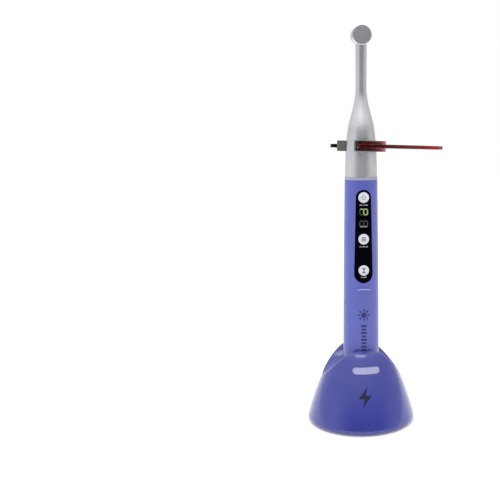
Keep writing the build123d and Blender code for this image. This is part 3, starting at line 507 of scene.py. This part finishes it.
SYMBOLS = {"power_button": power_symbol, "mode_button": mode_symbol, "time_button": time_symbol}
CAPTIONS = {                # height of each row in mm, and how long its bars are
    "power": (170.4, (2.2, 1.0, 2.2)),
    "mode": (139.0, (1.4, 2.6, 1.6)),
    "time": (115.6, (1.2, 2.6)),
}
CAPTION_GAP = 0.5           # mm between the bars of a row
CAPTION_STROKE = 0.8        # mm


def mark_buttons(ink):
    for node, symbol in SYMBOLS.items():
        low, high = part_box(node)
        shapes = symbol((low.z + high.z) / 2)
        mark(node + "_symbol", shapes, node, node, ink, BUTTON_LIFT)


def mark_captions(ink):
    """Under each button, a row of bars in place of a word."""
    for name, (height, lengths) in CAPTIONS.items():
        start = -(sum(lengths) + CAPTION_GAP * (len(lengths) - 1)) / 2
        shapes = []
        for length in lengths:
            middle = start + length / 2
            shapes.append(bar(middle * MM, height * MM, length * MM, CAPTION_STROKE * MM))
            start += length + CAPTION_GAP
        mark(name + "_caption", shapes, "control_panel", "handpiece", ink,
             PANEL_LIFT)


def mark_grip(ink, painted_highlight_finish):
    """A sun, a scale of bars under it, and a painted highlight: a pale line on the upper edge of
    the finger stop.
    """
    sun_z = 86.2 * MM
    ray_start, ray_end, ray_width = 2.75 * MM, 4.5 * MM, 1.15 * MM
    sun = [circle(0.0, sun_z, 2.1 * MM)]
    for step in range(8):
        ends = [round_point(0.0, sun_z, reach, 45.0 * step) for reach in (ray_start, ray_end)]
        sun += ribbon(ends, ray_width)
    mark("grip_light_symbol", sun, "body_shell", "handpiece", ink, SHELL_LIFT)

    scale_top, spacing, long_bar, short_bar, stroke = 77.6, 2.7, 4.6, 3.4, 1.6
    scale = []
    for step in range(8):
        length = long_bar if step % 2 == 0 else short_bar
        scale.append(bar(0.0, (scale_top - spacing * step) * MM, length * MM, stroke * MM))
    mark("grip_scale", scale, "body_shell", "handpiece", ink, SHELL_LIFT)

    # Painted highlight: a pale arc on the upper edge of the finger stop, standing in for the light
    # caught on that edge.
    edge = ribbon(arc(0.0, 91.6 * MM, 14.8 * MM, 71.0, 109.0, 14), 0.5 * MM)
    mark("finger_stop_painted_highlight", edge, "body_shell", "handpiece", painted_highlight_finish, SHELL_LIFT)


def mark_base(ink):
    """Bolt on the front of the base, made of two halves."""
    middle, height = -2.3 * MM, 28.0 * MM
    upper = [(1.9, 7.0), (-5.2, -1.2), (-0.6, -1.2), (0.7, 1.2)]
    lower = [(0.7, 1.2), (-0.6, -1.2), (-1.9, -7.0), (5.2, 1.2)]
    bolt = [[(middle + x * MM, height + z * MM) for x, z in half] for half in (upper, lower)]
    mark("base_charge_symbol", bolt, "base_shell", "base", ink, SHELL_LIFT)


def printed_marks():
    """Symbols on the buttons, bars in place of words, generic pictures in place of marks, and a
    painted highlight on the finger stop.
    """
    grey = printed("ink_grey", srgb(96, 97, 112), srgb(108, 109, 122))
    white = printed("ink_white", srgb(136, 138, 152), srgb(150, 152, 165))
    navy = printed("ink_navy", srgb(20, 25, 82), srgb(26, 31, 92))
    deep = printed("ink_deep", srgb(6, 8, 46), srgb(10, 12, 54))
    # This pale finish is a painted highlight for the finger stop's edge, not print.
    pale = printed("painted_highlight_pale", srgb(168, 171, 224), srgb(176, 179, 230))
    mark_buttons(grey)
    mark_captions(white)
    mark_grip(navy, pale)
    mark_base(deep)


# ---- Display ------------------------------------------------------------------------------------
SEGMENTS = {                # place across and up a digit, from -1 to 1, and whether it is level
    "top": (0, 1, True), "middle": (0, 0, True), "bottom": (0, -1, True),
    "upper_left": (-1, 0.5, False), "upper_right": (1, 0.5, False),
    "lower_left": (-1, -0.5, False), "lower_right": (1, -0.5, False),
}
DIGIT_LENGTH = 6.6 * MM     # top to bottom of a digit
DIGIT_WIDTH = 5.0 * MM
SEGMENT = 0.8 * MM
SEGMENT_GAP = 0.12 * MM     # what each end of a segment is cut back by
UPPER_DIGIT_Z = 165.3 * MM
LOWER_DIGIT_Z = 156.4 * MM
UPPER_LIT = {"top", "upper_right", "upper_left", "middle", "lower_left"}
LOWER_LIT = {"upper_right", "lower_right"}


def digit_segment(z, name):
    """One segment of a digit that lies on its side, its top to the right."""
    across, up, level = SEGMENTS[name]
    reach_across = (DIGIT_WIDTH - SEGMENT) / 2
    reach_up = (DIGIT_LENGTH - SEGMENT) / 2
    half = (reach_across if level else reach_up / 2) - SEGMENT_GAP
    tip = SEGMENT / 2
    outline = [(-half, 0), (-half + tip, tip), (half - tip, tip),
               (half, 0), (half - tip, -tip), (-half + tip, -tip)]
    placed = [(a, b) if level else (b, a) for a, b in outline]
    return [(up * reach_up + up_off, z - (across * reach_across + across_off))
            for across_off, up_off in placed]


def display_digits():
    """Two numerals on their side, a bright one above a dim one, with their unlit segments."""
    green = glowing("segment_green", srgb(118, 142, 90), srgb(152, 178, 112), 0.62)
    faint = glowing("segment_faint", srgb(128, 132, 118), srgb(148, 152, 138), 0.4)
    off = printed("segment_off", srgb(46, 50, 48), srgb(56, 60, 56))
    digits = {"upper": (UPPER_DIGIT_Z, UPPER_LIT, green),
              "lower": (LOWER_DIGIT_Z, LOWER_LIT, faint)}
    for place, (z, lit, finish) in digits.items():
        for name in SEGMENTS:
            used = finish if name in lit else off
            mark("digit_" + place + "_" + name, [digit_segment(z, name)], "control_panel",
                 "handpiece", used, PANEL_LIFT)


# ---- Springs under the charging pins ------------------------------------------------------------
def squash_pin_springs():
    """Gives each spring under the charging pins its own copy of its mesh."""
    for place in ("inner", "outer"):
        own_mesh(nodes["pin_spring_" + place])


# ---- Floor, light and camera --------------------------------------------------------------------
FLOOR_RADIUS = 6.0
FLOOR_DROP = 0.1 * MM       # the floor is this far under the foot

SKY_STRENGTH = (1.12, 0.9)      # at the left and at the right
SKY_LOW = (0.72, 0.72, 0.735, 1.0)
SKY_HIGH = (1.35, 1.35, 1.36, 1.0)
SKY_RISE = (0.25, 0.9)          # z of the direction where the low colour ends and the high starts
DARK_PATCH = (0.02, 0.02, 0.025, 1.0)
DARK_AHEAD = (-0.88, -0.45)     # y of the direction where the dark patch is full and where it ends
DARK_LEVEL = (0.12, 0.45)       # the same for its z

SOFTBOX_PLACE = (-0.08, -0.35, 0.95)
SOFTBOX_AIM = (0.0, 0.0, 0.15)
SOFTBOX_SIDE = 0.5
SOFTBOX_WATTS = 2.2

LENS = 50.86                # focal length, mm
SENSOR = 36.0               # width, mm
CAMERA_PLACE = (-0.0863, -0.535, 0.2115)
CAMERA_TURN = -9.163        # degrees from facing +Y; less than 0 is to the right
CAMERA_DIP = 8.07           # degrees down from level
CAMERA_SHIFT = -0.222       # the object stands right of the picture's middle


def link(name, data):
    """A new object with this data, in the scene."""
    made = bpy.data.objects.new(name, data)
    bpy.context.scene.collection.objects.link(made)
    return made


def add_floor():
    """Wide pale disc, just under the foot."""
    made = bmesh.new()
    bmesh.ops.create_circle(made, cap_ends=True, segments=96, radius=FLOOR_RADIUS)
    mesh = bpy.data.meshes.new("floor")
    made.to_mesh(mesh)
    made.free()
    floor = link("floor", mesh)
    floor.location.z = -FLOOR_DROP
    finish, tree, shader = new_material("floor_pale", {
        "Roughness": 0.6, "Specular IOR Level": 0.2, "Emission Color": WHITE,
        "Emission Strength": 0.16})
    paint(tree, shader, mixed(tree, noise(tree, 8.0), srgb(246, 246, 247), srgb(249, 249, 250)))
    mesh.materials.append(finish)


def add_world():
    """White surroundings, darker in one soft patch in front of the object, as in a light tent.

    The camera itself sees plain white.
    """
    world = bpy.data.worlds.new("studio")
    bpy.context.scene.world = world
    world.use_nodes = True
    tree = world.node_tree
    sky = tree.nodes["Background"]
    place = tree.nodes.new("ShaderNodeTexCoord")
    split = tree.nodes.new("ShaderNodeSeparateXYZ")
    tree.links.new(place.outputs["Generated"], split.inputs["Vector"])
    ahead = between(tree, split.outputs["Y"], 1.0, 0.0, *DARK_AHEAD)
    level = between(tree, split.outputs["Z"], 1.0, 0.0, *DARK_LEVEL)
    above = between(tree, split.outputs["Z"], 0.0, 1.0, *SKY_RISE)
    white = mixed(tree, above, SKY_LOW, SKY_HIGH)
    colour = mixed(tree, times(tree, ahead, level), white, DARK_PATCH)
    strength = between(tree, split.outputs["X"], *SKY_STRENGTH, -1.0, 1.0)
    tree.links.new(colour, sky.inputs["Color"])
    tree.links.new(strength, sky.inputs["Strength"])
    seen = tree.nodes.new("ShaderNodeBackground")
    set_values(seen, {"Color": WHITE, "Strength": 1.0})
    rays = tree.nodes.new("ShaderNodeLightPath")
    choose = tree.nodes.new("ShaderNodeMixShader")
    tree.links.new(rays.outputs["Is Camera Ray"], choose.inputs["Fac"])
    tree.links.new(sky.outputs["Background"], choose.inputs[1])
    tree.links.new(seen.outputs["Background"], choose.inputs[2])
    tree.links.new(choose.outputs["Shader"], tree.nodes["World Output"].inputs["Surface"])


def add_softbox():
    """Square lamp high in front of the object and to its left."""
    data = bpy.data.lights.new("top_box", "AREA")
    data.size = SOFTBOX_SIDE
    data.energy = SOFTBOX_WATTS
    lamp = link("top_box", data)
    lamp.location = SOFTBOX_PLACE
    beam = Vector(SOFTBOX_AIM) - Vector(SOFTBOX_PLACE)
    lamp.rotation_euler = beam.to_track_quat("-Z", "Y").to_euler()


def add_camera():
    """In front of the object, a little above its middle and to its left."""
    data = bpy.data.cameras.new("camera")
    data.lens = LENS
    data.sensor_width = SENSOR
    data.shift_x = CAMERA_SHIFT
    camera = link("camera", data)
    turn = Matrix.Rotation(math.radians(CAMERA_TURN), 4, "Z")
    tilt = Matrix.Rotation(math.radians(90.0 - CAMERA_DIP), 4, "X")
    camera.matrix_world = Matrix.Translation(CAMERA_PLACE) @ turn @ tilt
    bpy.context.scene.camera = camera


assign_finishes()
printed_marks()
display_digits()
squash_pin_springs()
add_floor()
add_world()
add_softbox()
add_camera()
bpy.context.scene.view_settings.view_transform = "Standard"
bpy.context.view_layer.update()
